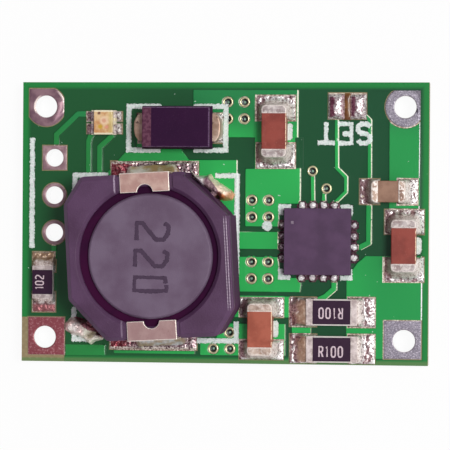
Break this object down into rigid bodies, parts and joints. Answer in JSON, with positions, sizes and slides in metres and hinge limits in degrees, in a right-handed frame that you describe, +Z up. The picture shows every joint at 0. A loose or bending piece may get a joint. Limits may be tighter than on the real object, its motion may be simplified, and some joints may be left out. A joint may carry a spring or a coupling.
{
  "type": "battery charger module",
  "caption": "Green circuit board with a shielded power inductor, rectifier diode, leadless charger chip, chip capacitors and resistors, and plated wire holes in its corners.",
  "frame": {"origin": "middle of the board's underside", "axes": "+X along the board towards the battery end, +Y to the edge with the diode, +Z up through the parts"},
  "size_m": [0.025, 0.0172, 0.0055],
  "materials": {
    "laminate": "woven glass and resin, sawn edges",
    "copper_foil": "etched, tinned where it is open",
    "solder_mask": "glossy green lacquer",
    "legend_ink": "screen-printed white ink",
    "hole_plating": "mottled tin",
    "via_plating": "tinned copper",
    "ferrite_shield": "ground ferrite, matt",
    "ferrite_core": "ground ferrite, matt",
    "enamelled_wire": "enamelled copper",
    "clip_metal": "tinned copper strip",
    "solder": "bright reflowed solder",
    "diode_resin": "moulded epoxy, satin",
    "lead_metal": "tinned strip",
    "red_ceramic": "satin",
    "orange_ceramic": "satin",
    "tan_ceramic": "satin",
    "end_metal": "tinned end bands",
    "alumina": "white, matt",
    "overcoat": "dark glass and resin coat",
    "chip_resin": "moulded epoxy, sawn sides",
    "chip_leads": "tinned copper",
    "led_base": "white laminate",
    "led_gold": "gilt",
    "led_die": "polished",
    "led_resin": "clear amber epoxy"
  },
  "bodies": {
    "root": {"board_laminate": "laminate", "top_copper": "copper_foil", "bottom_copper": "copper_foil", "top_solder_mask": "solder_mask", "bottom_solder_mask": "solder_mask", "top_legend": "legend_ink", "wire_hole_plating": "hole_plating", "led_header_plating": "hole_plating", "via_plating": "via_plating", "inductor_shield": "ferrite_shield", "inductor_drum_core": "ferrite_core", "inductor_winding": "enamelled_wire", "inductor_lead_wires": "enamelled_wire", "inductor_input_clip": "clip_metal", "inductor_output_clip": "clip_metal", "input_capacitor_solder": "solder", "battery_capacitor_solder": "solder", "output_capacitor_solder": "solder", "bypass_capacitor_solder": "solder", "upper_sense_resistor_solder": "solder", "lower_sense_resistor_solder": "solder", "led_resistor_solder": "solder", "inductor_solder": "solder", "diode_solder": "solder", "charger_chip_solder": "solder", "led_solder": "solder", "jumper_solder": "solder", "diode_body": "diode_resin", "diode_cathode_lead": "lead_metal", "diode_anode_lead": "lead_metal", "input_capacitor_body": "red_ceramic", "battery_capacitor_body": "red_ceramic", "output_capacitor_body": "orange_ceramic", "bypass_capacitor_body": "tan_ceramic", "input_capacitor_terminals": "end_metal", "battery_capacitor_terminals": "end_metal", "output_capacitor_terminals": "end_metal", "bypass_capacitor_terminals": "end_metal", "upper_sense_resistor_terminals": "end_metal", "lower_sense_resistor_terminals": "end_metal", "led_resistor_terminals": "end_metal", "upper_sense_resistor_substrate": "alumina", "lower_sense_resistor_substrate": "alumina", "led_resistor_substrate": "alumina", "upper_sense_resistor_overcoat": "overcoat", "lower_sense_resistor_overcoat": "overcoat", "led_resistor_overcoat": "overcoat", "charger_chip_body": "chip_resin", "charger_chip_leads": "chip_leads", "charger_chip_thermal_pad": "chip_leads", "led_substrate": "led_base", "led_terminals": "led_gold", "led_dies": "led_die", "led_lens": "led_resin"}
  },
  "joints": []
}
